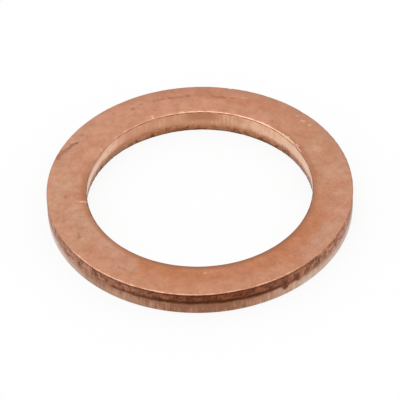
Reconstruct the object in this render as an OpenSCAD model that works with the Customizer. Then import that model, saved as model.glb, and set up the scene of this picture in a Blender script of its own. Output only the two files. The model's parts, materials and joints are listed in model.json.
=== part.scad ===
// Flat copper crush washer, blanked from soft sheet.
// It lies on its lower face at Z = 0, with its axis along Z. Lengths are in millimetres.
//
// Both walls keep the bands that a blanking tool leaves: an edge drawn in where the cut
// began, a smooth burnished land, and a torn zone where the sheet broke. The bore was
// pierced from above and the ring was pushed out downwards, so the bands of the outside
// wall start at the lower face and those of the bore start at the upper one.

/* [Washer] */
// Outside diameter, over the burnished land
outer_d = 17.9; // [16:0.1:24]
// Bore diameter, at the burnished land
bore_d = 13.2; // [8:0.1:14]
// Thickness of the sheet
thickness = 1.5; // [1.4:0.05:3]

/* [Drawn-in edges] */
// How far a drawn-in edge reaches across its face
roll_reach = 0.22; // [0.1:0.02:0.5]
// How far a drawn-in edge reaches along its wall
roll_rise = 0.1; // [0.05:0.01:0.2]

/* [Outside wall] */
// Height of the burnished land
rim_land_h = 0.6; // [0.3:0.02:0.8]
// Depth of the torn groove above the land
rim_tear_depth = 0.06; // [0.02:0.01:0.15]

/* [Bore wall] */
// Height of the burnished land
bore_land_h = 0.8; // [0.3:0.02:1]
// How far the torn zone opens out at the lower face
bore_tear_depth = 0.09; // [0.02:0.01:0.15]

/* [Burred edges] */
// Radius that tumbling leaves on the two edges that the burr was on
burr_edge_r = 0.06; // [0.02:0.01:0.1]

/* [Hidden] */
$fn = 180;

outer_r = outer_d / 2;
bore_r = bore_d / 2;
rim_land_top = roll_rise + rim_land_h;
bore_land_low = thickness - roll_rise - bore_land_h;
// Spare reach of a cutting outline past the metal that it takes away
overcut = 0.2;

// Waste between a sharp corner and its rounded edge. The corner is the origin, with the
// metal above and to the left. The edge is a quarter ellipse, tangent to face and wall.
module edge_waste(reach, rise) {
    difference() {
        translate([-reach, -overcut]) square([reach + overcut, rise + overcut]);
        translate([-reach, rise]) scale([reach, rise]) circle(r = 1);
    }
}

// Waste of the torn zone outside: a shoulder on the land, and a face that leans back out to the rim
module rim_tear_waste() {
    rim_low = thickness - burr_edge_r;
    polygon([
        [outer_r, rim_land_top],
        [outer_r + overcut, rim_land_top],
        [outer_r + overcut, rim_low],
        [outer_r, rim_low],
        [outer_r - rim_tear_depth, rim_land_top + rim_tear_depth],
    ]);
}

// Waste of the torn zone in the bore, which widens towards the lower face
module bore_tear_waste() {
    polygon([
        [bore_r, bore_land_low],
        [bore_r - overcut, bore_land_low],
        [bore_r - overcut, -overcut],
        [bore_r + bore_tear_depth, -overcut],
        [bore_r + bore_tear_depth, burr_edge_r],
    ]);
}

// Half of the washer's cross-section, at its true distance from the axis
module section() {
    difference() {
        translate([bore_r, 0]) square([outer_r - bore_r, thickness]);
        translate([outer_r, 0]) edge_waste(roll_reach, roll_rise);
        translate([bore_r, thickness]) rotate(180) edge_waste(roll_reach, roll_rise);
        rim_tear_waste();
        bore_tear_waste();
        translate([outer_r, thickness]) mirror([0, 1]) edge_waste(burr_edge_r, burr_edge_r);
        translate([bore_r + bore_tear_depth, 0]) mirror([1, 0]) edge_waste(burr_edge_r, burr_edge_r);
    }
}

module crush_washer() {
    color("#C58C6C") rotate_extrude() section();
}

crush_washer();
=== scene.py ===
"""Copper crush washer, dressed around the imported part: a blanked ring with burnished and torn walls."""
import json
import math
from types import SimpleNamespace

import bmesh
import bpy
from mathutils import Matrix, Vector, noise


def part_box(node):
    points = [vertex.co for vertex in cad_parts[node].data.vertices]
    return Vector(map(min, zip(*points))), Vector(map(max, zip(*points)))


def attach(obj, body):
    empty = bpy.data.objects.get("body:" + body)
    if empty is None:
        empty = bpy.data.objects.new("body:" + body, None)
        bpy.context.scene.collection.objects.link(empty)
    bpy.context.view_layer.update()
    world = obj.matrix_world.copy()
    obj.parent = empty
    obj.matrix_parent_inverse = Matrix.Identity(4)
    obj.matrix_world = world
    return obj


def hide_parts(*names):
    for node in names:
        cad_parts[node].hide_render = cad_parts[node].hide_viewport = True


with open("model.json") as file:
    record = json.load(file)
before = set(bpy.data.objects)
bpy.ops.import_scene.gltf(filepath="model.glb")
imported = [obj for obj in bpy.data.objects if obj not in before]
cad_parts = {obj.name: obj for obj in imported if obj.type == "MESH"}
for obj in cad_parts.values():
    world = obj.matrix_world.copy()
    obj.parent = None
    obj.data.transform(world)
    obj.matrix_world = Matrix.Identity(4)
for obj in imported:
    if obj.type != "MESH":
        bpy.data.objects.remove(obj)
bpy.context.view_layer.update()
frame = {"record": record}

# The mesh is worked in millimetres and scaled to metres at the end
MM = 0.001

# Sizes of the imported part, in millimetres
NODE = "crush_washer"
BORE_MOUNT = next(mount for mount in frame["record"]["mounts"] if mount["name"] == "bore")
OUTER_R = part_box(NODE)[1].x / MM
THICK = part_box(NODE)[1].z / MM
BORE_R = BORE_MOUNT["dims"]["r_mm"]

# Bands of the blanked walls, in millimetres
ROLL_REACH = 0.22
ROLL_RISE = 0.10
EDGE_R = 0.06
RIM_LAND_TOP = 0.70
RIM_TEAR = 0.06
BORE_LAND_LOW = 0.60
BORE_TEAR = 0.09
# Round of the corners between a land and its tear
CORNER_R = 0.03
# Height of the torn zone outside, from the land up to the rim
TEAR_CLIMB = THICK - RIM_LAND_TOP
# Height where the bore's drawn-in edge begins
ROLL_FOOT = THICK - ROLL_RISE
# Strip of the upper face along the rim that the wear of the rim can reach
RIM_MARGIN = 0.25

# Fineness of the mesh: steps round the ring, segments of each round, spacings in millimetres
STEPS_ROUND = 720
SECTORS = 12
ROLL_SEGMENTS = 14
EDGE_SEGMENTS = 6
CORNER_SEGMENTS = 3
WALL_SPACING = 0.045
FACE_SPACING = 0.095
UNDERSIDE_SPACING = 0.30
MERGE_DISTANCE = 1e-4
LEVEL_TOLERANCE = 1e-6

# Directions are in degrees round the ring: 0 is right, 90 is the back, -90 is the front
FRONT = -90
# Direction in which the bore's tear is lowest and leans least
BACK_OF_BORE = 84

# Band value of a point that lies well outside the band; inside it is positive, and 0 is its border
OUTSIDE = -3.0

# Heights below which the outside wall and the bore's wall are left as they are, with the underside
OUTER_WEAR_LOW = 0.01
BORE_WEAR_LOW = 0.001
# Upper face: how far it sinks towards the rim, and how uneven it is, in millimetres
CROWN_DROP = 0.026
FACE_UNEVEN = 0.004

# Grain of the torn zones: depth in millimetres, grains per millimetre, and the noise's own settings
GRAIN_DEPTH = 0.03
GRAIN_SCALE = 3.5
GRAIN_FRACTAL = (0.9, 2.1, 4)

# Marks on the upper face: start, end, half width and depth in millimetres, strength of the tone
DARK_MARKS = (
    ((-8.45, 2.95), (-7.75, 3.68), 0.28, 0.030, 0.55),
    ((-7.95, 3.52), (-7.28, 4.10), 0.19, 0.020, 0.90),
    ((-8.30, 2.74), (-8.20, 2.78), 0.15, 0.010, 0.55),
    ((-3.40, 7.40), (-3.34, 7.44), 0.14, 0.004, 0.50),
    ((-2.65, 7.72), (-2.05, 7.86), 0.14, 0.006, 0.40),
    ((-1.75, 7.94), (-0.90, 8.02), 0.14, 0.006, 0.50),
    ((-0.60, 8.10), (-0.48, 8.10), 0.15, 0.004, 0.70),
    ((-0.15, 8.08), (0.35, 8.06), 0.15, 0.004, 0.25),
    ((0.95, 7.96), (1.70, 7.84), 0.14, 0.004, 0.50),
    ((2.10, 7.75), (2.18, 7.73), 0.15, 0.004, 0.50),
    ((-2.60, 6.84), (-2.55, 6.86), 0.14, 0.004, 0.40),
    ((-1.60, 8.53), (-1.50, 8.55), 0.15, 0.004, 0.40),
    ((6.25, 6.22), (6.35, 6.30), 0.13, 0.004, 0.50),
    ((-7.02, -3.66), (-6.95, -4.00), 0.12, 0.008, 0.40),
    ((-7.83, -0.60), (-7.79, -0.70), 0.14, 0.006, 0.40),
    ((-4.72, -6.52), (-4.58, -6.64), 0.13, 0.006, 0.45),
    ((-4.40, -6.72), (-4.30, -6.82), 0.12, 0.006, 0.40),
    ((-3.95, 7.00), (-3.84, 7.06), 0.17, 0.004, 0.60),
    ((-6.94, 4.72), (-6.88, 4.82), 0.15, 0.004, 0.55),
    ((4.40, 5.55), (4.46, 5.50), 0.15, 0.004, 0.30),
)
BRIGHT_MARKS = (
    ((-7.20, -0.99), (-6.95, -1.02), 0.07, 0.006, 0.35),
    ((-6.95, -1.02), (-6.55, -1.08), 0.09, 0.012, 0.65),
    # A painted highlight on the lip of the gouge
    ((-7.55, 4.14), (-7.22, 4.32), 0.10, 0.000, 0.30),
    ((5.93, 6.03), (6.00, 5.97), 0.10, 0.006, 0.40),
    ((6.25, 5.52), (6.33, 5.45), 0.12, 0.006, 0.50),
    ((6.65, 5.14), (6.72, 5.08), 0.11, 0.006, 0.50),
    ((2.75, 7.77), (3.00, 7.71), 0.10, 0.005, 0.25),
    ((0.10, -7.24), (0.22, -7.20), 0.09, 0.006, 0.50),
    ((-2.72, 6.30), (-2.66, 6.12), 0.09, 0.006, 0.80),
    ((-0.98, 6.63), (-0.90, 6.64), 0.12, 0.000, 0.60),
    ((3.28, 5.76), (3.36, 5.71), 0.11, 0.000, 0.60),
    ((5.05, 4.32), (5.33, 4.02), 0.12, 0.000, 0.80),
    ((5.84, 3.38), (5.92, 3.26), 0.10, 0.000, 0.60),
    ((-4.92, 4.44), (-4.86, 4.50), 0.10, 0.000, 0.45),
    ((-5.72, 3.42), (-5.76, 3.36), 0.10, 0.000, 0.35),
)
# Soft patches of tone on the upper face, written as the marks are
ROSY_PATCHES = (
    ((-7.40, -2.20), (-4.20, -6.40), 0.90, 0.0, 0.70),
    ((6.10, -5.90), (8.20, -2.60), 0.80, 0.0, 0.60),
    ((7.60, -2.00), (7.80, -1.20), 0.80, 0.0, 0.30),
    ((-8.50, 1.90), (-6.20, 6.10), 0.60, 0.0, 0.40),
)
WARM_PATCHES = (
    ((-1.50, -7.90), (5.00, -6.00), 0.90, 0.0, 0.60),
    ((8.00, 2.10), (6.90, 4.40), 0.60, 0.0, 0.40),
    ((6.90, 4.40), (4.60, 6.80), 0.60, 0.0, 0.45),
    ((4.60, 6.80), (0.20, 8.25), 0.60, 0.0, 0.60),
    ((5.30, 4.60), (4.60, 5.30), 0.70, 0.0, 0.40),
    ((-6.70, 1.80), (-6.70, -1.60), 0.50, 0.0, 0.45),
)
# Share of a mark's half width over which it keeps its full depth and tone
MARK_CORE = 0.2

# Nicks in the upper rim: direction in degrees, depth in millimetres; and their half width in degrees
RIM_NICKS = (
    (-151, 0.05), (-147, 0.03), (-143.5, 0.06), (-72, 0.03),
    (-38, 0.04), (24, 0.03), (45, 0.04), (77, 0.03), (158, 0.04),
)
NICK_WIDTH = 0.8
# Tones of the outer land: direction and half width in degrees, how much paler it is there
LAND_TONES = (
    (-134, 7, -0.95),
    (-116, 6, -0.20),
    (-61, 6, -0.06),
    (-47, 8, 0.45),
    (-12, 10, -1.35),
)
# Spots where the bore edge's painted highlight is weaker: direction and half width in degrees, how much
# weaker; a stronger spot is negative
HIGHLIGHT_GAPS = ((52, 6, -0.15), (85, 8, 0.15), (116, 9, 0.30))
# Tongues of the tear down over the outer land: direction and half width in degrees, reach in millimetres
TEAR_TONGUES = ((-58.4, 1.4, 0.24), (-52.8, 0.9, 0.10))

# Colours of the faces, as linear RGBA
FACE_MIDDLE = (0.620, 0.340, 0.222, 1)
FACE_FRONT = (0.590, 0.280, 0.168, 1)
FACE_BACK = (0.650, 0.300, 0.190, 1)
FACE_WARM = (0.515, 0.197, 0.088, 1)
ROSY_PATCH = (0.600, 0.340, 0.245, 1)
WARM_PATCH = (0.555, 0.218, 0.108, 1)
PINK_CLOUD = (0.640, 0.290, 0.205, 1)
BROWN_MOTTLE = (0.55, 0.222, 0.128, 1)
# Painted shade along the bore's edge of the upper face
BORE_EDGE_SHADE = (0.40, 0.160, 0.084, 1)
BACK_MARGIN = (0.47, 0.215, 0.135, 1)
# How far the fine clouds spread each channel, and its mean
TONE_SPREAD = (0.060, 0.080, 0.100)
TONE_MEAN = (0.98, 1.0, 0.985)
# Colours of the lands: painted shade at the front outside, tan, and a painted sheen low on the sides outside;
# copper in the bore, its painted sheen, and a darker colour for its painted shade and its patch
LAND_PAINTED_SHADE = (0.275, 0.102, 0.046, 1)
LAND_TAN = (0.452, 0.222, 0.130, 1)
LAND_PAINTED_SHEEN = (0.610, 0.450, 0.340, 1)
BORE_COPPER = (0.60, 0.290, 0.176, 1)
BORE_PAINTED_SHEEN = (0.84, 0.510, 0.348, 1)
BORE_SHADE_BROWN = (0.46, 0.205, 0.110, 1)
# Colours of the tears: outside, in painted shade at the front and in painted light at the sides, and the
# painted shade of the crease; then those of the bore
FRONT_TEAR_DARK = (0.130, 0.033, 0.011, 1)
FRONT_TEAR_LIGHT = (0.310, 0.097, 0.040, 1)
SIDE_TEAR_DARK = (0.240, 0.083, 0.040, 1)
SIDE_TEAR_LIGHT = (0.665, 0.325, 0.205, 1)
CREASE_SHADE = (0.080, 0.023, 0.010, 1)
BORE_TEAR_TOP = (0.495, 0.207, 0.098, 1)
BORE_TEAR_LOW = (0.390, 0.165, 0.083, 1)
BORE_TEAR_DARK = (0.230, 0.085, 0.046, 1)
BORE_TEAR_LIGHT = (0.600, 0.300, 0.190, 1)
BORE_FOOT_DARK = (0.115, 0.040, 0.018, 1)
BORE_CHIP_DARK = (0.120, 0.040, 0.018, 1)
BORE_CREASE_DARK = (0.170, 0.055, 0.026, 1)
# Colours of the painted dark line and the painted highlight along the edges, and of the marks
DARK_LINE_PAINT = (0.18, 0.068, 0.036, 1)
EDGE_HIGHLIGHT_PAINT = (0.88, 0.53, 0.37, 1)
MARK_DARK = (0.29, 0.105, 0.055, 1)
MARK_BRIGHT = (0.88, 0.56, 0.41, 1)

# Noises of the copper: grains per millimetre, detail, roughness
CRUMBS = (9.5, 3.0, 0.65)
CLUMPS = (2.4, 2.0, 0.6)
MOTTLE = (2.2, 3.0, 0.6)
PATCHES = (0.8, 3.0, 0.6)
CLOUDS = (1.5, 2.0, 0.5)
SPECKS = (7.0, 1.0, 0.5)
STREAKS = (4.0, 2.0, 0.5)
STAINS = (1.6, 2.0, 0.6)
LINES = (11.0, 2.0, 0.6)
PITS = (12.0, 2.0, 0.6)
# How far the grain breaks up the borders of the bands
OUTER_TEAR_RAGGED = 4.0
BORE_TEAR_RAGGED = 2.5
DARK_LINE_RAGGED = 3.0
HIGHLIGHT_RAGGED = 6.0
# Roughness of the faces, from their smoothest to their dullest, and how the other bands differ from it
SATIN = (0.36, 0.44)
TORN_ROUGHER = 0.16
LAND_SMOOTHER = 0.10
EDGE_SMOOTHER = 0.08
# Coat on the outer land
COAT_WEIGHT = 0.6
COAT_ROUGHNESS = 0.25
COAT_IOR = 1.5
# Fine relief: height of the bump in millimetres, and the pits' and the streaks' shares of it
BUMP_HEIGHT = 0.02
PIT_RELIEF = 0.15
STREAK_RELIEF = 0.3
# Ways across the upper face along which its tone changes
FRONT_WAY = (0.26, -0.97, 0)
BACK_RIGHT_WAY = (0.40, 0.92, 0)
# Stretch of the noise that draws the lands along the punch's stroke
STROKE_STRETCH = (1, 1, 0.08)
# How far the borders of the marks waver, in millimetres
MARK_WAVER = (0.18, 0.18, 0)

# Floor: half its side in metres, its own colour, and the share of plain white that takes no shadow
FLOOR_REACH = 5.0
FLOOR_GREY = (0.90, 0.90, 0.90, 1)
FLOOR_GLOW = 0.88
WHITE = (1, 1, 1, 1)

# Camera, as the photo was taken
CAMERA_ELEVATION = 43.12
CAMERA_DISTANCE = 149.5 * MM
CAMERA_LENS = 229.0
CAMERA_SENSOR = 36.0
CAMERA_ROLL = -1.62
CAMERA_AIM = Vector((0, 0.195, 0.208)) * MM
CAMERA_CLIP = (1 * MM, 10.0)


# Curves that the wear is drawn with

def smoothstep(low, high, value):
    """Rises from 0 at low to 1 at high."""
    share = min(1.0, max(0.0, (value - low) / (high - low)))
    return share * share * (3 - 2 * share)


def band(value, low, high, blur):
    """1 between low and high, fading out over blur on both sides."""
    rise = smoothstep(low - blur, low + blur, value)
    fall = smoothstep(high - blur, high + blur, value)
    return rise * (1 - fall)


def band_depth(value, low, low_blur, high, high_blur):
    """How deep a value lies inside a band, in widths of its blurred borders."""
    return max(OUTSIDE, min((value - low) / low_blur, (high - value) / high_blur, -OUTSIDE))


def turned(azimuth, degrees):
    """Angle in degrees from a direction, from -180 to 180."""
    return (math.degrees(azimuth) - degrees + 180) % 360 - 180


def ripple(azimuth, radius, wavelength, layer):
    """Smooth noise from -1 to 1 that closes round the ring; each layer has its own."""
    reach = radius / wavelength
    return noise.noise(Vector((reach * math.cos(azimuth), reach * math.sin(azimuth), layer)))


def spot(azimuth, place, width, power=2):
    """1 in one direction, fading out over a width in degrees; a higher power has steeper sides."""
    return math.exp(-((turned(azimuth, place) / width) ** power))


def spots(azimuth, places):
    """Sum of spots, each given as its direction, half width and strength."""
    return sum(strength * spot(azimuth, place, width) for place, width, strength in places)


def distance_to_stroke(point, start, end):
    """Distance in the plane from point to the stroke from start to end."""
    along = end - start
    share = (point - start).dot(along) / max(along.length_squared, 1e-9)
    return (point - start - along * min(1.0, max(0.0, share))).length


# The ring's mesh

def draw_section(bm):
    """Draws half of the section as one flat face, with sharp corners, and returns the corners by name."""
    corners = {
        "bore_foot": (BORE_R + BORE_TEAR, 0),
        "outer_foot": (OUTER_R, 0),
        "land_top": (OUTER_R, RIM_LAND_TOP),
        "crease": (OUTER_R - RIM_TEAR, RIM_LAND_TOP + RIM_TEAR),
        "rim": (OUTER_R, THICK),
        "rim_margin": (OUTER_R - RIM_MARGIN, THICK),
        "bore_top": (BORE_R, THICK),
        "land_foot": (BORE_R, BORE_LAND_LOW),
    }
    verts = {name: bm.verts.new((radius, 0, height)) for name, (radius, height) in corners.items()}
    bm.faces.new(verts.values())
    return verts


def round_corner(bm, corner, offset, segments):
    """Rounds one corner of the section."""
    bmesh.ops.bevel(bm, geom=[corner], offset=offset, offset_type="OFFSET", segments=segments,
                    profile=0.5, affect="VERTICES", material=-1)


def round_corners(bm, corners):
    """Rounds the corners: the drawn-in edges as quarter ellipses, by a round on the stretched section."""
    stretch = ROLL_REACH / ROLL_RISE
    bmesh.ops.scale(bm, verts=bm.verts[:], vec=(1, 1, stretch))
    for name in ("outer_foot", "bore_top"):
        round_corner(bm, corners[name], ROLL_REACH, ROLL_SEGMENTS)
    bmesh.ops.scale(bm, verts=bm.verts[:], vec=(1, 1, 1 / stretch))
    for name in ("bore_foot", "rim"):
        round_corner(bm, corners[name], EDGE_R, EDGE_SEGMENTS)
    for name in ("land_top", "crease", "land_foot"):
        round_corner(bm, corners[name], CORNER_R, CORNER_SEGMENTS)


def divide_section(bm):
    """Divides the section's long edges finely enough for the wear to be shaped."""
    for edge in list(bm.edges):
        ends = [vert.co for vert in edge.verts]
        level = abs(ends[0].z - ends[1].z) < LEVEL_TOLERANCE
        inland = min(end.x for end in ends) < OUTER_R - 1.1 * RIM_MARGIN
        spacing = WALL_SPACING
        if level and inland:
            spacing = FACE_SPACING if ends[0].z > 0.5 * THICK else UNDERSIDE_SPACING
        cuts = round(edge.calc_length() / spacing) - 1
        if cuts > 0:
            bmesh.ops.subdivide_edges(bm, edges=[edge], cuts=cuts)


def spin_ring(bm):
    """Turns the section through one sector, repeats the sector round the axis and joins the seams."""
    bmesh.ops.delete(bm, geom=bm.faces[:], context="FACES_ONLY")
    sector = math.tau / SECTORS
    axis = {"cent": (0, 0, 0), "axis": (0, 0, 1)}
    section = bm.verts[:] + bm.edges[:]
    bmesh.ops.spin(bm, geom=section, angle=sector, steps=STEPS_ROUND // SECTORS, **axis)
    first = bm.verts[:] + bm.edges[:] + bm.faces[:]
    bmesh.ops.spin(bm, geom=first, angle=math.tau - sector, steps=SECTORS - 1, use_duplicate=True, **axis)
    bmesh.ops.remove_doubles(bm, verts=bm.verts[:], dist=MERGE_DISTANCE)
    bmesh.ops.recalc_face_normals(bm, faces=bm.faces[:])


# Wear of the outside wall and the rim

def rim_land_shift(azimuth):
    """How far the top of the outer land lies above its mean height, because the tear bites unevenly."""
    trend = 0.07 * math.cos(2 * azimuth + math.pi) - 0.02
    waves = 0.05 * ripple(azimuth, OUTER_R, wavelength=1.3, layer=1.0)
    teeth = 0.04 * ripple(azimuth, OUTER_R, wavelength=0.35, layer=2.0)
    return trend + waves + teeth


def crease_depth(azimuth):
    """How deep the crease above the outer land is, against its drawn depth: deepest at the front."""
    away = turned(azimuth, -87)
    # It fades more slowly towards the left
    front = 1 - smoothstep(12, 44, away if away > 0 else -0.8 * away)
    return max(0.0, 0.12 + 0.95 * front + 0.3 * ripple(azimuth, OUTER_R, wavelength=0.9, layer=6.0))


def rim_chipped(azimuth):
    """1 where the tear has broken the rim away, 0 where the rim is whole."""
    direction = turned(azimuth, 0)
    return smoothstep(-62, -46, direction) * (1 - smoothstep(5, 35, direction))


def rim_wear(azimuth):
    """How far the burred rim is knocked down, in millimetres."""
    fine = 0.018 * abs(ripple(azimuth, OUTER_R, wavelength=0.30, layer=5.0))
    coarse = 0.014 * abs(ripple(azimuth, OUTER_R, wavelength=0.9, layer=7.0))
    nicks = sum(depth * spot(azimuth, place, NICK_WIDTH) for place, depth in RIM_NICKS)
    return (fine + coarse) * (1 + rim_chipped(azimuth)) + nicks


def tear_tongues(azimuth):
    """How far tongues of the tear reach down over the outer land, and the share of the nearest one."""
    shares = [spot(azimuth, place, width, power=4) for place, width, _ in TEAR_TONGUES]
    reach = sum(length * share for (_, _, length), share in zip(TEAR_TONGUES, shares))
    return reach, max(shares)


def tear_top(azimuth):
    """Height of the tear's upper border above the outer land: highest at the front right, over the rim."""
    direction = turned(azimuth, 0)
    broken = smoothstep(-98, -76, direction)
    broken *= 1 - 0.4 * smoothstep(-56, -34, direction) - 0.6 * smoothstep(60, 120, direction)
    teeth = 0.05 * ripple(azimuth, OUTER_R, wavelength=0.30, layer=11.0) * rim_chipped(azimuth)
    return TEAR_CLIMB - 0.03 + 0.08 * broken + teeth


def torn_grain(co, torn):
    """How far the grain of a torn zone is broken out at a point, in millimetres."""
    share = 0.5 + 0.5 * min(1.0, max(-1.0, torn))
    return GRAIN_DEPTH * share * abs(noise.fractal(co * GRAIN_SCALE, *GRAIN_FRACTAL))


def outer_painted_light(azimuth, height, climb):
    """How much painted light the outside wall takes: 0 is painted shade, as at the front, 1 is tan, and above
    1 is a painted sheen, low on the sides.
    """
    away = abs(turned(azimuth, FRONT))
    painted_sheen = 0.35 * band(away, 40, 88, 14) * (1 - smoothstep(0.30, 0.60, height))
    fade = 0.36 - 0.42 * spot(azimuth, -60, 16)
    land = 0.14 + smoothstep(4, 34, away) + painted_sheen - fade * smoothstep(0.35, 0.60, height)
    land -= 0.45 * smoothstep(95, 130, away)
    land += spots(azimuth, LAND_TONES)
    side = abs(turned(azimuth, -85))
    tear = smoothstep(4, 60, side) * (1 - 0.45 * smoothstep(85, 125, side))
    return land + (tear - land) * smoothstep(-0.10, 0.05, climb)


def outer_wall_wear(co, radius, azimuth):
    """The outside wall and its rim: a point's moves outwards and upwards, and the bands that it lies in."""
    # Way up the wall from the land's top, and on across the rounded rim
    climb = co.z - RIM_LAND_TOP
    if co.z > THICK - EDGE_R:
        climb += OUTER_R - radius
    side = smoothstep(25, 60, abs(turned(azimuth, -93)))
    reach, tongue = tear_tongues(azimuth)
    foot = -reach
    top = tear_top(azimuth)
    torn = band_depth(climb, foot, 0.06 + 0.12 * side, top, 0.03 + 0.05 * rim_chipped(azimuth))
    depth = crease_depth(azimuth)
    shoulder = OUTER_R - radius if RIM_LAND_TOP - 0.1 < co.z < THICK - EDGE_R else 0.0
    push = shoulder * (1 - depth) - torn_grain(co, torn)
    rise = smoothstep(ROLL_RISE, RIM_LAND_TOP, co.z)
    fall = smoothstep(RIM_LAND_TOP + RIM_TEAR, THICK - EDGE_R, co.z)
    lift = rise * (1 - fall) * rim_land_shift(azimuth)
    # Painted highlight along the rim, kept to the front
    highlight_reach = band(turned(azimuth, -97), -52, 46, 11) * (1 - 0.25 * band(turned(azimuth, 0), -80, -55, 6))
    # Painted shade in the crease above the land and in a strip under the rim; the tongues darken with it
    crease = band(climb, 0.0, 0.18, 0.07) * depth
    under_rim_shade = band(climb, top - 0.15, top - 0.03, 0.03) * (0.7 - 0.5 * side)
    tongue_crease = band(climb, foot, 0.40, 0.06) * 0.8 * tongue
    bands = {
        "outer_torn": torn,
        "outer_land": 1 - smoothstep(0.02, 0.14, climb),
        "crease": max(crease, under_rim_shade, tongue_crease),
        "painted_highlight": band_depth(climb, top + 0.03, 0.02, top + 0.10, 0.03) + OUTSIDE * (1 - highlight_reach),
        "painted_light": outer_painted_light(azimuth, co.z, climb - foot),
    }
    return push, lift, bands


# Wear of the bore's wall

def bore_ends(azimuth):
    """1 at the bore's right and left ends, where its tear climbs and its land is dull, and 0 elsewhere."""
    right = band(turned(azimuth, 0), -8, 13, 4)
    left = band(turned(azimuth, 180), -8, 8, 4)
    return max(right, left)


def bore_land_shift(azimuth):
    """How far the foot of the bore's land lies above its mean height: low at the back, high at the ends."""
    away = abs(turned(azimuth, BACK_OF_BORE))
    trend = -0.15 + 0.20 * smoothstep(8, 50, away) + 0.14 * bore_ends(azimuth)
    waves = 0.06 * ripple(azimuth, BORE_R, wavelength=1.2, layer=3.0)
    teeth = 0.04 * ripple(azimuth, BORE_R, wavelength=0.35, layer=4.0)
    return trend + waves + teeth


def bore_edge_bands(azimuth, height):
    """Depths in the painted dark line and in the painted highlight that run along the top of the bore."""
    direction = turned(azimuth, 0)
    far = smoothstep(-0.3, 0.3, math.sin(azimuth))
    line_top = THICK - 0.025 - 0.038 * far
    line = band_depth(height, ROLL_FOOT - 0.01, 0.012, line_top, 0.012)
    whole = smoothstep(-0.55, 0.05, ripple(azimuth, BORE_R, wavelength=0.45, layer=8.0))
    bright = band_depth(height, line_top + 0.008, 0.01, THICK - 0.020, 0.008)
    highlight_reach = band(direction, 25, 138, 10) - 0.32 * smoothstep(58, 74, direction) - spots(azimuth, HIGHLIGHT_GAPS)
    return line + OUTSIDE * (1 - whole), bright + OUTSIDE * (1 - highlight_reach)


def bore_painted_light(azimuth):
    """How much painted sheen the bore's land takes: most towards both ends, less at the very ends and on the
    near side.
    """
    direction = turned(azimuth, 0)
    sides = max(1 - smoothstep(44, 86, direction), smoothstep(131, 145, direction))
    near = band(turned(azimuth, FRONT), -65, 65, 25)
    return sides * (1 - max(0.55 * near, 0.6 * bore_ends(azimuth)))


def bore_shade_and_brown(azimuth, height):
    """How much the bore's land is darkened: a darker patch at the back, and painted shade in the left corner
    and along its foot.
    """
    direction = turned(azimuth, 0)
    patch = band(direction, 80, 96, 4) * smoothstep(0.75, 1.1, height)
    # Painted shade in the left corner and along the foot
    corner = band(turned(azimuth, 166), -18, 18, 10) * smoothstep(1.05, 1.28, height)
    foot = 0.55 * (1 - smoothstep(BORE_LAND_LOW, BORE_LAND_LOW + 0.35, height)) * band(direction, 58, 140, 10)
    return max(patch, corner, foot)


def bore_crease(azimuth, height):
    """How dark the bore's tear is: in stretches along its foot, and all the way up at the ends."""
    direction = turned(azimuth, 0)
    stretches = band(direction, 93, 106, 5) + 0.7 * band(direction, 140, 168, 8)
    foot = stretches * (1 - smoothstep(0.25, 0.45, height))
    clump = 0.25 * band(direction, 36, 43, 4) * band(height, 0.25, 0.42, 0.10)
    return max(foot, clump, 0.9 * bore_ends(azimuth))


def bore_wall_wear(co, azimuth):
    """The bore's wall: a point's moves outwards and upwards, and the bands that it lies in."""
    torn = band_depth(co.z, -1.0, 0.2, BORE_LAND_LOW, 0.18)
    # The torn zone leans less at the back
    back = 1 - smoothstep(22, 56, abs(turned(azimuth, BACK_OF_BORE)))
    lean = 0.07 * back * smoothstep(0.0, 0.018, co.z) * (1 - smoothstep(0.05, BORE_LAND_LOW, co.z))
    push = torn_grain(co, torn) - lean
    rise = smoothstep(EDGE_R, BORE_LAND_LOW, co.z)
    fall = smoothstep(BORE_LAND_LOW, ROLL_FOOT, co.z)
    lift = rise * (1 - fall) * bore_land_shift(azimuth)
    painted_dark_line, painted_highlight = bore_edge_bands(azimuth, co.z)
    bands = {
        "bore_torn": torn,
        "bore_land": 1 - smoothstep(ROLL_FOOT - 0.02, ROLL_FOOT + 0.03, co.z),
        "painted_dark_line": painted_dark_line,
        "painted_highlight": painted_highlight,
        "painted_light": bore_painted_light(azimuth),
        "shade_and_brown": bore_shade_and_brown(azimuth, co.z),
        "crease": bore_crease(azimuth, co.z),
    }
    return push, lift, bands


# Wear of the whole ring

def upper_face_wear(co, radius, azimuth, marks):
    """How far a point of the upper face lies below the flat: its crown, its rim and its marks."""
    rim = smoothstep(OUTER_R - 0.10, OUTER_R - 0.03, radius) * smoothstep(THICK - 0.07, THICK - 0.02, co.z)
    level = smoothstep(THICK - 0.02, THICK - 0.005, co.z)
    uneven = FACE_UNEVEN * (1 + noise.noise(co * 0.7))
    crown = CROWN_DROP * smoothstep(OUTER_R - 0.8, OUTER_R + 0.1, radius) ** 1.5
    sink = uneven + crown
    if level > 0:
        for start, end, width, depth in marks:
            distance = distance_to_stroke(co.xy, start, end)
            sink += depth * (1 - smoothstep(MARK_CORE * width, width, distance))
    return level * sink + rim * rim_wear(azimuth)


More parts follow.
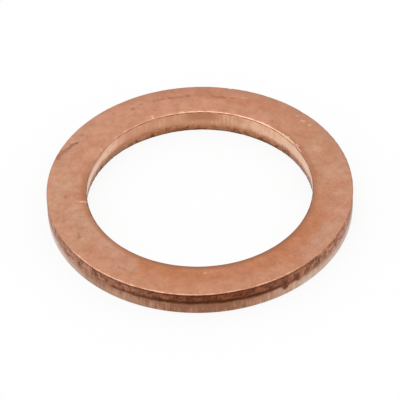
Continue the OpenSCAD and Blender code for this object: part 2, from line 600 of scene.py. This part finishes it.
def wear_ring(bm):
    """Works the torn walls, uneven edges and marks into the mesh, and stores where each band lies."""
    shares = ("outer_land", "bore_land", "crease", "painted_light", "shade_and_brown")
    depths = ("outer_torn", "bore_torn", "painted_dark_line", "painted_highlight")
    layers = {name: bm.verts.layers.float.new(name) for name in shares + depths}
    marks = [(Vector(start), Vector(end), width, depth)
             for start, end, width, depth, _ in DARK_MARKS + BRIGHT_MARKS if depth > 0]
    for vert in bm.verts:
        radius = vert.co.xy.length
        azimuth = math.atan2(vert.co.y, vert.co.x)
        outward = Vector((vert.co.x, vert.co.y, 0)) / radius
        push, lift, bands = 0.0, 0.0, {}
        if radius > OUTER_R - RIM_MARGIN and vert.co.z > OUTER_WEAR_LOW:
            push, lift, bands = outer_wall_wear(vert.co, radius, azimuth)
        elif radius < BORE_R + ROLL_REACH and vert.co.z > BORE_WEAR_LOW:
            push, lift, bands = bore_wall_wear(vert.co, azimuth)
        for name, layer in layers.items():
            vert[layer] = bands.get(name, OUTSIDE if name in depths else 0.0)
        sink = upper_face_wear(vert.co, radius, azimuth, marks)
        vert.co += outward * push + Vector((0, 0, lift - sink))


def add_object(name, bm):
    """Puts a finished mesh into the scene as an object."""
    mesh = bpy.data.meshes.new(name)
    bm.to_mesh(mesh)
    bm.free()
    made = bpy.data.objects.new(name, mesh)
    bpy.context.scene.collection.objects.link(made)
    return made


def build_ring():
    """The whole washer as one closed mesh, in place of the plain solid."""
    bm = bmesh.new()
    corners = draw_section(bm)
    round_corners(bm, corners)
    divide_section(bm)
    spin_ring(bm)
    wear_ring(bm)
    bmesh.ops.scale(bm, verts=bm.verts[:], vec=(MM, MM, MM))
    for face in bm.faces:
        face.smooth = True
    return add_object("washer_ring", bm)


# Nodes that the materials are made of

def add_node(tree, kind, inputs=None, **settings):
    """Adds a node, sets its options, and fills its inputs with values or with links."""
    made = tree.nodes.new(kind)
    for name, value in settings.items():
        setattr(made, name, value)
    for key, value in (inputs or {}).items():
        if isinstance(value, bpy.types.NodeSocket):
            tree.links.new(value, made.inputs[key])
        else:
            made.inputs[key].default_value = value
    return made


def calc(tree, operation, first, second=0.0, clamp=False):
    """One step of arithmetic on values."""
    made = add_node(tree, "ShaderNodeMath", {0: first, 1: second}, operation=operation, use_clamp=clamp)
    return made.outputs[0]


def add(tree, first, second):
    """Sum of two values."""
    return calc(tree, "ADD", first, second)


def multiply(tree, first, second):
    """Product of two values."""
    return calc(tree, "MULTIPLY", first, second)


def vector_calc(tree, operation, inputs, output="Vector"):
    """One step of arithmetic on vectors."""
    return add_node(tree, "ShaderNodeVectorMath", inputs, operation=operation).outputs[output]


def blend_colour(tree, share, first, second):
    """Mixes two colours, given as linear RGBA or as sockets."""
    inputs = {0: share, 6: first, 7: second}
    return add_node(tree, "ShaderNodeMix", inputs, data_type="RGBA", clamp_factor=True).outputs[2]


def remap(tree, value, low, high, to_low=0.0, to_high=1.0):
    """Moves the span from low to high onto another, with soft ends."""
    inputs = {"Value": value, "From Min": low, "From Max": high, "To Min": to_low, "To Max": to_high}
    return add_node(tree, "ShaderNodeMapRange", inputs, interpolation_type="SMOOTHSTEP").outputs["Result"]


def grain_noise(tree, vector, settings):
    """Noise from 0 to 1, given as its grains per millimetre, detail and roughness."""
    scale, detail, roughness = settings
    inputs = {"Vector": vector, "Scale": scale, "Detail": detail, "Roughness": roughness}
    return add_node(tree, "ShaderNodeTexNoise", inputs).outputs["Fac"]


def attribute(tree, name):
    """A band that the mesh carries, as a share or as a depth."""
    return add_node(tree, "ShaderNodeAttribute", attribute_name=name).outputs["Fac"]


def ragged_band(tree, name, grain, amount):
    """Share of a band that is stored as a depth, with its border broken up by the grain."""
    uneven = multiply(tree, calc(tree, "SUBTRACT", grain, 0.5), amount)
    return remap(tree, add(tree, attribute(tree, name), uneven), -1.0, 1.0)


def stroke_group():
    """Shader group: how close a point is to a short straight mark, from 0 away from it to 1 on it."""
    group = bpy.data.node_groups.new("stroke", "ShaderNodeTree")
    for name, kind in (("Point", "NodeSocketVector"), ("Start", "NodeSocketVector"),
                       ("End", "NodeSocketVector"), ("Width", "NodeSocketFloat")):
        group.interface.new_socket(name, in_out="INPUT", socket_type=kind)
    group.interface.new_socket("Mark", in_out="OUTPUT", socket_type="NodeSocketFloat")
    given = group.nodes.new("NodeGroupInput").outputs
    result = group.nodes.new("NodeGroupOutput")
    from_start = vector_calc(group, "SUBTRACT", {0: given["Point"], 1: given["Start"]})
    along = vector_calc(group, "SUBTRACT", {0: given["End"], 1: given["Start"]})
    reach = vector_calc(group, "DOT_PRODUCT", {0: from_start, 1: along}, "Value")
    square = vector_calc(group, "DOT_PRODUCT", {0: along, 1: along}, "Value")
    share = calc(group, "DIVIDE", reach, square, clamp=True)
    nearest = vector_calc(group, "SCALE", {0: along, "Scale": share})
    offset = vector_calc(group, "SUBTRACT", {0: from_start, 1: nearest})
    distance = vector_calc(group, "LENGTH", {0: offset}, "Value")
    widths = calc(group, "DIVIDE", distance, given["Width"])
    group.links.new(remap(group, widths, MARK_CORE, 1.0, 1.0, 0.0), result.inputs["Mark"])
    return group


def marks_mask(tree, group, point, marks):
    """All of the given marks as one mask."""
    total = None
    for start, end, width, _, tone in marks:
        inputs = {"Point": point, "Start": (*start, THICK), "End": (*end, THICK), "Width": width}
        stroke = add_node(tree, "ShaderNodeGroup", inputs, node_tree=group)
        mask = multiply(tree, stroke.outputs["Mark"], tone)
        total = mask if total is None else calc(tree, "MAXIMUM", total, mask)
    return total


def new_material(name):
    """A new material, with its node tree and its shader."""
    material = bpy.data.materials.new(name)
    material.use_nodes = True
    return material, material.node_tree, material.node_tree.nodes["Principled BSDF"]


# The copper

def copper_ground(tree):
    """The places, grains and bands that the parts of the copper material share."""
    place = add_node(tree, "ShaderNodeTexCoord").outputs["Object"]
    point = vector_calc(tree, "SCALE", {0: place, "Scale": 1 / MM})
    flat = vector_calc(tree, "MULTIPLY", {0: point, 1: (1, 1, 0)})
    upright = vector_calc(tree, "MULTIPLY", {0: point, 1: STROKE_STRETCH})
    crumbs = grain_noise(tree, point, CRUMBS)
    clumps = grain_noise(tree, point, CLUMPS)
    return SimpleNamespace(
        strokes=stroke_group(),
        point=point,
        upright=upright,
        radius=vector_calc(tree, "LENGTH", {0: flat}, "Value"),
        height=vector_calc(tree, "DOT_PRODUCT", {0: point, 1: (0, 0, 1)}, "Value"),
        front=vector_calc(tree, "DOT_PRODUCT", {0: point, 1: FRONT_WAY}, "Value"),
        back_right=vector_calc(tree, "DOT_PRODUCT", {0: point, 1: BACK_RIGHT_WAY}, "Value"),
        crumbs=crumbs,
        clumps=clumps,
        mottle=grain_noise(tree, point, MOTTLE),
        streaks=grain_noise(tree, upright, STREAKS),
        outer_land=attribute(tree, "outer_land"),
        bore_land=attribute(tree, "bore_land"),
        crease=attribute(tree, "crease"),
        painted_light=attribute(tree, "painted_light"),
        shade_and_brown=attribute(tree, "shade_and_brown"),
        outer_torn=ragged_band(tree, "outer_torn", crumbs, OUTER_TEAR_RAGGED),
        bore_torn=ragged_band(tree, "bore_torn", crumbs, BORE_TEAR_RAGGED),
        painted_dark_line=ragged_band(tree, "painted_dark_line", clumps, DARK_LINE_RAGGED),
        painted_highlight=ragged_band(tree, "painted_highlight", clumps, HIGHLIGHT_RAGGED),
    )


def face_colour(tree, copper):
    """The faces: rosy, redder at the back, warmer at the front and towards the bore, clouded, and with
    painted shade along the bore's edge, strongest at the front.
    """
    patches = grain_noise(tree, copper.point, PATCHES)
    cool = blend_colour(tree, remap(tree, copper.front, 0.0, 6.0), FACE_MIDDLE, FACE_FRONT)
    towards_front = remap(tree, copper.front, -2.0, 6.5, 0.2, 1.0)
    warm = multiply(tree, towards_front, remap(tree, copper.radius, 8.6, 7.1))
    warm = add(tree, warm, remap(tree, patches, 0.3, 0.7, -0.35, 0.35))
    face = blend_colour(tree, warm, cool, FACE_WARM)
    face = blend_colour(tree, remap(tree, copper.front, -1.5, -7.0, 0.0, 0.75), face, FACE_BACK)
    for marks, colour in ((ROSY_PATCHES, ROSY_PATCH), (WARM_PATCHES, WARM_PATCH)):
        face = blend_colour(tree, marks_mask(tree, copper.strokes, copper.point, marks), face, colour)
    face = blend_colour(tree, remap(tree, patches, 0.40, 0.65, 0.0, 0.35), face, PINK_CLOUD)
    face = blend_colour(tree, remap(tree, copper.mottle, 0.35, 0.75, 0.1, 0.25), face, BROWN_MOTTLE)
    face = clouded(tree, copper, face)
    # Painted shade along the bore's edge, strongest at the front
    margin_shade = remap(tree, copper.radius, 7.05, 6.75)
    margin_shade = multiply(tree, margin_shade, remap(tree, copper.front, -5.0, -2.0, 0.0, 0.55))
    margin_shade = multiply(tree, margin_shade, remap(tree, copper.front, 3.5, 6.5, 1.0, 1.6))
    face = blend_colour(tree, margin_shade, face, BORE_EDGE_SHADE)
    margin = remap(tree, copper.back_right, 1.5, 7.5, 0.0, 0.45)
    margin = multiply(tree, remap(tree, copper.radius, 7.9, 8.8), margin)
    return blend_colour(tree, margin, face, BACK_MARGIN)


def clouded(tree, copper, colour):
    """A colour with light and dark clouds, mottles and specks in it."""
    clouds = grain_noise(tree, copper.point, CLOUDS)
    specks = grain_noise(tree, copper.point, SPECKS)
    shade = remap(tree, clouds, 0.25, 0.75, 1.0, -1.0)
    shade = add(tree, shade, remap(tree, copper.mottle, 0.25, 0.75, 0.6, -0.6))
    shade = add(tree, shade, remap(tree, specks, 0.25, 0.75, 0.8, -0.8))
    tone = vector_calc(tree, "MULTIPLY_ADD", {0: shade, 1: TONE_SPREAD, 2: TONE_MEAN})
    return vector_calc(tree, "MULTIPLY", {0: colour, 1: tone})


def land_colours(tree, copper):
    """The lands outside and in the bore: drawn along the stroke of the punch, and stained; outside with
    painted shade at the front and a painted sheen low on the sides, in the bore with a painted sheen towards
    its ends and painted shade in its corner and along its foot.
    """
    stains = grain_noise(tree, copper.point, STAINS)
    lines = grain_noise(tree, copper.upright, LINES)
    drag = remap(tree, copper.streaks, 0.3, 0.7, -0.25, 0.25)
    drag = add(tree, drag, remap(tree, stains, 0.3, 0.7, -0.40, 0.40))
    drag = add(tree, drag, remap(tree, lines, 0.3, 0.7, -0.35, 0.35))
    outer_drag = multiply(tree, drag, remap(tree, copper.painted_light, 0.5, 1.0, 1.0, 0.5))
    outer_share = add(tree, copper.painted_light, outer_drag)
    # Painted shade at the front, tan on the sides, and a painted sheen low on the sides
    outer = blend_colour(tree, outer_share, LAND_PAINTED_SHADE, LAND_TAN)
    outer = blend_colour(tree, calc(tree, "SUBTRACT", outer_share, 1.0), outer, LAND_PAINTED_SHEEN)
    bore_share = add(tree, copper.painted_light, multiply(tree, drag, 0.50))
    # Painted sheen towards the bore's ends; a darker colour for its painted shade and its patch
    bore = blend_colour(tree, bore_share, BORE_COPPER, BORE_PAINTED_SHEEN)
    bore = blend_colour(tree, copper.shade_and_brown, bore, BORE_SHADE_BROWN)
    return outer, bore


def tear_colours(tree, copper):
    """The tears outside and in the bore: dark, with rosy grains, darkest in the crease and at the foot;
    outside, painted shade at the front, painted light at the sides and painted shade in the crease.
    """
    mixed = multiply(tree, add(tree, copper.crumbs, copper.clumps), 0.5)
    grains = remap(tree, mixed, 0.40, 0.60)
    # The tear in painted shade at the front and in painted light at the sides
    front = blend_colour(tree, grains, FRONT_TEAR_DARK, FRONT_TEAR_LIGHT)
    side = blend_colour(tree, grains, SIDE_TEAR_DARK, SIDE_TEAR_LIGHT)
    outer = blend_colour(tree, copper.painted_light, front, side)
    # Painted shade in the crease and under the rim; the tongues darken with it
    crease = multiply(tree, copper.crease, remap(tree, copper.clumps, 0.35, 0.60, 0.50, 0.90))
    outer = blend_colour(tree, crease, outer, CREASE_SHADE)
    bore = blend_colour(tree, remap(tree, copper.height, 0.55, 0.12), BORE_TEAR_TOP, BORE_TEAR_LOW)
    bore = blend_colour(tree, remap(tree, mixed, 0.48, 0.60, 0.0, 0.6), bore, BORE_TEAR_DARK)
    bore = blend_colour(tree, remap(tree, mixed, 0.46, 0.36, 0.0, 0.5), bore, BORE_TEAR_LIGHT)
    bore = blend_colour(tree, remap(tree, copper.height, 0.20, 0.04, 0.0, 0.75), bore, BORE_FOOT_DARK)
    chips = multiply(tree, remap(tree, copper.clumps, 0.53, 0.62), remap(tree, copper.height, 0.48, 0.18))
    bore = blend_colour(tree, multiply(tree, chips, 0.7), bore, BORE_CHIP_DARK)
    bore = blend_colour(tree, multiply(tree, copper.crease, 0.55), bore, BORE_CREASE_DARK)
    return outer, bore


def marked(tree, copper, colour):
    """A colour with the dark and bright marks of the upper face on it, their borders wavering."""
    inputs = {"Vector": copper.point, "Scale": 5.0, "Detail": 1.0}
    waver = add_node(tree, "ShaderNodeTexNoise", inputs).outputs["Color"]
    waver = vector_calc(tree, "SUBTRACT", {0: waver, 1: (0.5, 0.5, 0.5)})
    waver = vector_calc(tree, "MULTIPLY", {0: waver, 1: MARK_WAVER})
    point = vector_calc(tree, "ADD", {0: copper.point, 1: waver})
    smudge = remap(tree, copper.crumbs, 0.35, 0.60, 0.45, 1.0)
    dark = multiply(tree, marks_mask(tree, copper.strokes, point, DARK_MARKS), smudge)
    bright = marks_mask(tree, copper.strokes, point, BRIGHT_MARKS)
    colour = blend_colour(tree, dark, colour, MARK_DARK)
    return blend_colour(tree, bright, colour, MARK_BRIGHT)


def copper_colour(tree, copper):
    """Colour of the whole ring: its faces, and over them the lands, the tears, the painted dark line and
    highlight along the edges, and the marks.
    """
    outer_land, bore_land = land_colours(tree, copper)
    outer_tear, bore_tear = tear_colours(tree, copper)
    colour = face_colour(tree, copper)
    colour = blend_colour(tree, copper.outer_land, colour, outer_land)
    colour = blend_colour(tree, copper.bore_land, colour, bore_land)
    colour = blend_colour(tree, copper.outer_torn, colour, outer_tear)
    colour = blend_colour(tree, copper.bore_torn, colour, bore_tear)
    # Painted dark reflection: a thin dark line under the bore's edge
    colour = blend_colour(tree, multiply(tree, copper.painted_dark_line, 0.75), colour, DARK_LINE_PAINT)
    # Painted highlight along the rim and the bore's edge
    colour = blend_colour(tree, copper.painted_highlight, colour, EDGE_HIGHLIGHT_PAINT)
    return marked(tree, copper, colour)


def copper_roughness(tree, copper, torn):
    """Satin on the faces, matt in the tears, and smoother on the lands and where the edges carry the painted
    highlight.
    """
    drawn = add(tree, copper.outer_land, copper.bore_land)
    finish = remap(tree, copper.mottle, 0.3, 0.7, *SATIN)
    finish = add(tree, finish, multiply(tree, torn, TORN_ROUGHER))
    finish = calc(tree, "SUBTRACT", finish, multiply(tree, drawn, LAND_SMOOTHER))
    return calc(tree, "SUBTRACT", finish, multiply(tree, copper.painted_highlight, EDGE_SMOOTHER))


def copper_relief(tree, copper, torn):
    """Fine relief: pits all over, the grain of the tears and the streaks of the outer land."""
    pits = grain_noise(tree, copper.point, PITS)
    relief = multiply(tree, pits, PIT_RELIEF)
    relief = add(tree, relief, multiply(tree, copper.crumbs, torn))
    streaks = multiply(tree, copper.streaks, copper.outer_land)
    relief = add(tree, relief, multiply(tree, streaks, STREAK_RELIEF))
    inputs = {"Height": relief, "Strength": 1.0, "Distance": BUMP_HEIGHT * MM}
    return add_node(tree, "ShaderNodeBump", inputs).outputs["Normal"]


def satin_copper():
    """Soft copper as it leaves the press: satin faces, burnished lands and dark torn bands."""
    material, tree, shader = new_material("satin_copper")
    copper = copper_ground(tree)
    torn = add(tree, copper.outer_torn, copper.bore_torn)
    shader.inputs["Metallic"].default_value = 1.0
    tree.links.new(copper_colour(tree, copper), shader.inputs["Base Color"])
    tree.links.new(copper_roughness(tree, copper, torn), shader.inputs["Roughness"])
    tree.links.new(copper_relief(tree, copper, torn), shader.inputs["Normal"])
    # A thin coat is the pale sheen of the burnished outer land, and ends where the tear begins
    whole_land = calc(tree, "SUBTRACT", copper.outer_land, copper.outer_torn, clamp=True)
    tree.links.new(multiply(tree, whole_land, COAT_WEIGHT), shader.inputs["Coat Weight"])
    shader.inputs["Coat Roughness"].default_value = COAT_ROUGHNESS
    shader.inputs["Coat IOR"].default_value = COAT_IOR
    return material


# The studio

def pale_floor():
    """Matt white floor that takes the washer's shadow softly."""
    material, tree, shader = new_material("pale_floor")
    shader.inputs["Base Color"].default_value = FLOOR_GREY
    shader.inputs["Roughness"].default_value = 1.0
    shader.inputs["Specular IOR Level"].default_value = 0.0
    ray = add_node(tree, "ShaderNodeLightPath").outputs
    mirrored = calc(tree, "MAXIMUM", ray["Is Glossy Ray"], ray["Is Transmission Ray"])
    seen = calc(tree, "MAXIMUM", ray["Is Camera Ray"], mirrored)
    white = add_node(tree, "ShaderNodeEmission", {"Color": WHITE, "Strength": 1.0}).outputs["Emission"]
    inputs = {0: multiply(tree, seen, FLOOR_GLOW), 1: shader.outputs["BSDF"], 2: white}
    surface = add_node(tree, "ShaderNodeMixShader", inputs).outputs["Shader"]
    tree.links.new(surface, tree.nodes["Material Output"].inputs["Surface"])
    return material


def build_floor():
    """A wide level floor that the washer lies on."""
    bm = bmesh.new()
    bmesh.ops.create_grid(bm, x_segments=1, y_segments=1, size=FLOOR_REACH)
    floor = add_object("floor", bm)
    floor.data.materials.append(pale_floor())


def light_tent():
    """A white tent as the sky: brightest overhead, with a window at each side, dimmer by the camera."""
    world = bpy.data.worlds.new("light_tent")
    bpy.context.scene.world = world
    world.use_nodes = True
    tree = world.node_tree
    way = add_node(tree, "ShaderNodeTexCoord").outputs["Generated"]

    def facing(direction):
        """How squarely the sky's direction faces the given one, from -1 to 1."""
        return vector_calc(tree, "DOT_PRODUCT", {0: way, 1: Vector(direction).normalized()}, "Value")

    up = facing((0, 0, 1))
    walls = remap(tree, up, 0.10, 0.72, 0.80, 0.98)
    roof = remap(tree, up, 0.70, 0.95, 0.0, 0.15)
    opening = remap(tree, facing((0, -1, 0.35)), 0.25, 0.85, 1.0, 0.82)
    windows = remap(tree, calc(tree, "ABSOLUTE", facing((1, 0, 0))), 0.55, 0.95, 0.0, 0.25)
    lamp = remap(tree, facing((-0.3, -0.3, 1)), 0.87, 0.97, 0.0, 0.8)
    tent = multiply(tree, add(tree, walls, roof), opening)
    strength = add(tree, tent, add(tree, windows, lamp))
    tree.links.new(strength, tree.nodes["Background"].inputs["Strength"])
    tree.nodes["Background"].inputs["Color"].default_value = WHITE


def build_camera():
    """The photo's viewpoint: from in front and above, level but for a slight roll."""
    camera = bpy.data.objects.new("camera", bpy.data.cameras.new("camera"))
    bpy.context.scene.collection.objects.link(camera)
    camera.data.lens = CAMERA_LENS
    camera.data.sensor_width = CAMERA_SENSOR
    camera.data.clip_start, camera.data.clip_end = CAMERA_CLIP
    tilt = math.radians(90 - CAMERA_ELEVATION)
    turn = Matrix.Rotation(tilt, 4, "X") @ Matrix.Rotation(math.radians(CAMERA_ROLL), 4, "Z")
    back = Vector((0, -math.sin(tilt), math.cos(tilt)))
    camera.matrix_world = Matrix.Translation(CAMERA_AIM + back * CAMERA_DISTANCE) @ turn
    bpy.context.scene.camera = camera


ring = build_ring()
ring.data.materials.append(satin_copper())
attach(ring, "root")
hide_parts(NODE)

build_floor()
light_tent()
build_camera()
bpy.context.scene.view_settings.view_transform = "Standard"
